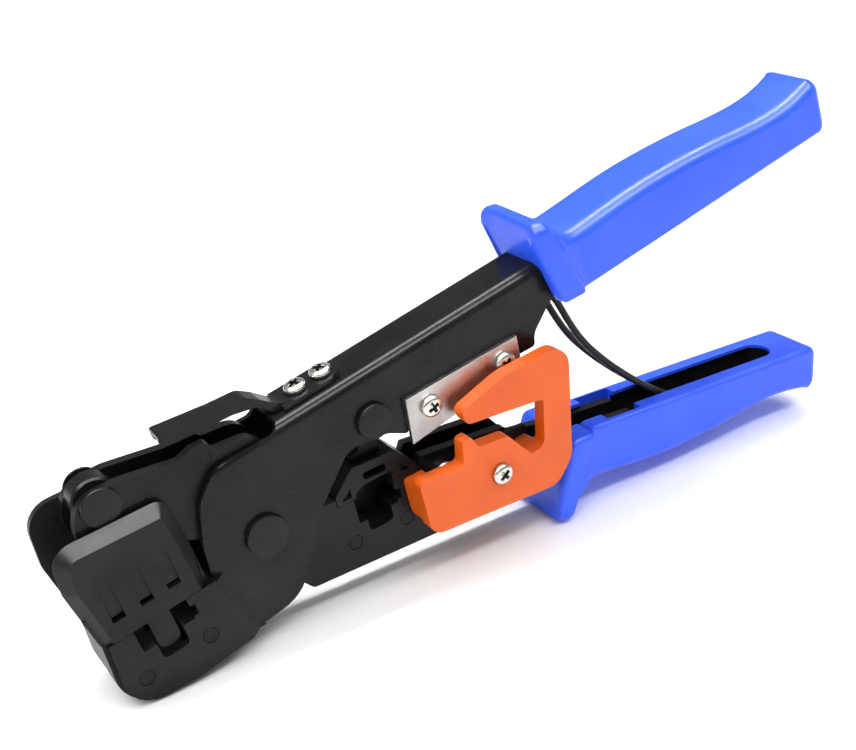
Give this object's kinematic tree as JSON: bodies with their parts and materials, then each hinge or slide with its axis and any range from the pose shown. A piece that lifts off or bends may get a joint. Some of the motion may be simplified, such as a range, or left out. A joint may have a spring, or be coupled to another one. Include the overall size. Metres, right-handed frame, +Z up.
{
  "type": "modular plug crimping tool",
  "caption": "Hand crimping tool for modular plugs, with two handles on a main rivet, a crimping head at the nose, a second die behind it, a guarded cutter and a return spring.",
  "frame": {"origin": "middle of the base of the bounding box, on the surface that the jaw and the lower finger flange stand on", "axes": "+X from the nose towards the handle ends, +Z up, +Y across the tool away from the blade guard"},
  "size_m": [0.2026, 0.0258, 0.0886],
  "materials": {
    "black_steel": "satin black oxide",
    "dark_die": "dull black oxide",
    "bright_steel": "bright nickel plate",
    "blade_steel": "ground steel",
    "spring_steel": "oiled black spring wire",
    "blue_grip": "satin moulded",
    "orange_guard": "satin moulded"
  },
  "bodies": {
    "upper_handle": {"upper_frame": "black_steel", "front_die_block": "dark_die", "die_pin_nose": "dark_die", "die_pin_rear": "dark_die", "crimping_head": "black_steel", "main_rivet": "black_steel", "drive_rivet": "black_steel", "spring_pin": "dark_die", "cutting_blade": "blade_steel", "blade_screw_front": "bright_steel", "blade_screw_rear": "bright_steel", "stop_strap": "black_steel", "strap_screw_front": "bright_steel", "strap_screw_rear": "bright_steel", "upper_grip": "blue_grip"},
    "front_ram": {"front_punch": "dark_die", "front_contact_comb": "bright_steel"},
    "lower_handle": {"lower_frame": "black_steel", "nose_pin": "black_steel", "nose_roller": "bright_steel", "pivot_spacer": "dark_die", "rear_die_block": "dark_die", "rear_die_pin_front": "dark_die", "rear_die_pin_rear": "dark_die", "rear_head": "black_steel", "counter_blade": "dark_die", "counter_blade_screw": "bright_steel", "blade_guard": "orange_guard", "guard_screw": "bright_steel", "lower_grip": "blue_grip"},
    "rear_ram": {"rear_punch": "dark_die", "rear_contact_comb": "bright_steel"},
    "spring": {"return_spring": "spring_steel"}
  },
  "joints": [
    {"name": "handle_close", "type": "hinge", "parent": "upper_handle", "child": "lower_handle", "pos_m": [-0.05729, 0.00219, 0.02703], "axis": [0, -1, 0], "range_deg": [0, 12], "stiffness_Nm_per_rad": 2, "springref_deg": -11.46},
    {"name": "front_ram_slide", "type": "slide", "parent": "upper_handle", "child": "front_ram", "axis": [0.2107, 0, -0.9775], "range_m": [0, 0.0061]},
    {"name": "rear_ram_slide", "type": "slide", "parent": "lower_handle", "child": "rear_ram", "axis": [0.1161, 0, -0.9932], "range_m": [0, 0.0064]},
    {"name": "spring_swing", "type": "hinge", "parent": "upper_handle", "child": "spring", "pos_m": [0.01681, 0.00219, 0.06066], "axis": [0, -1, 0], "range_deg": [0, 31]}
  ],
  "couplings": [
    {"joint": "front_ram_slide", "follows": "handle_close", "m_per_rad": 0.029},
    {"joint": "rear_ram_slide", "follows": "handle_close", "m_per_rad": 0.0303},
    {"joint": "spring_swing", "follows": "handle_close", "ratio": 2.58}
  ]
}
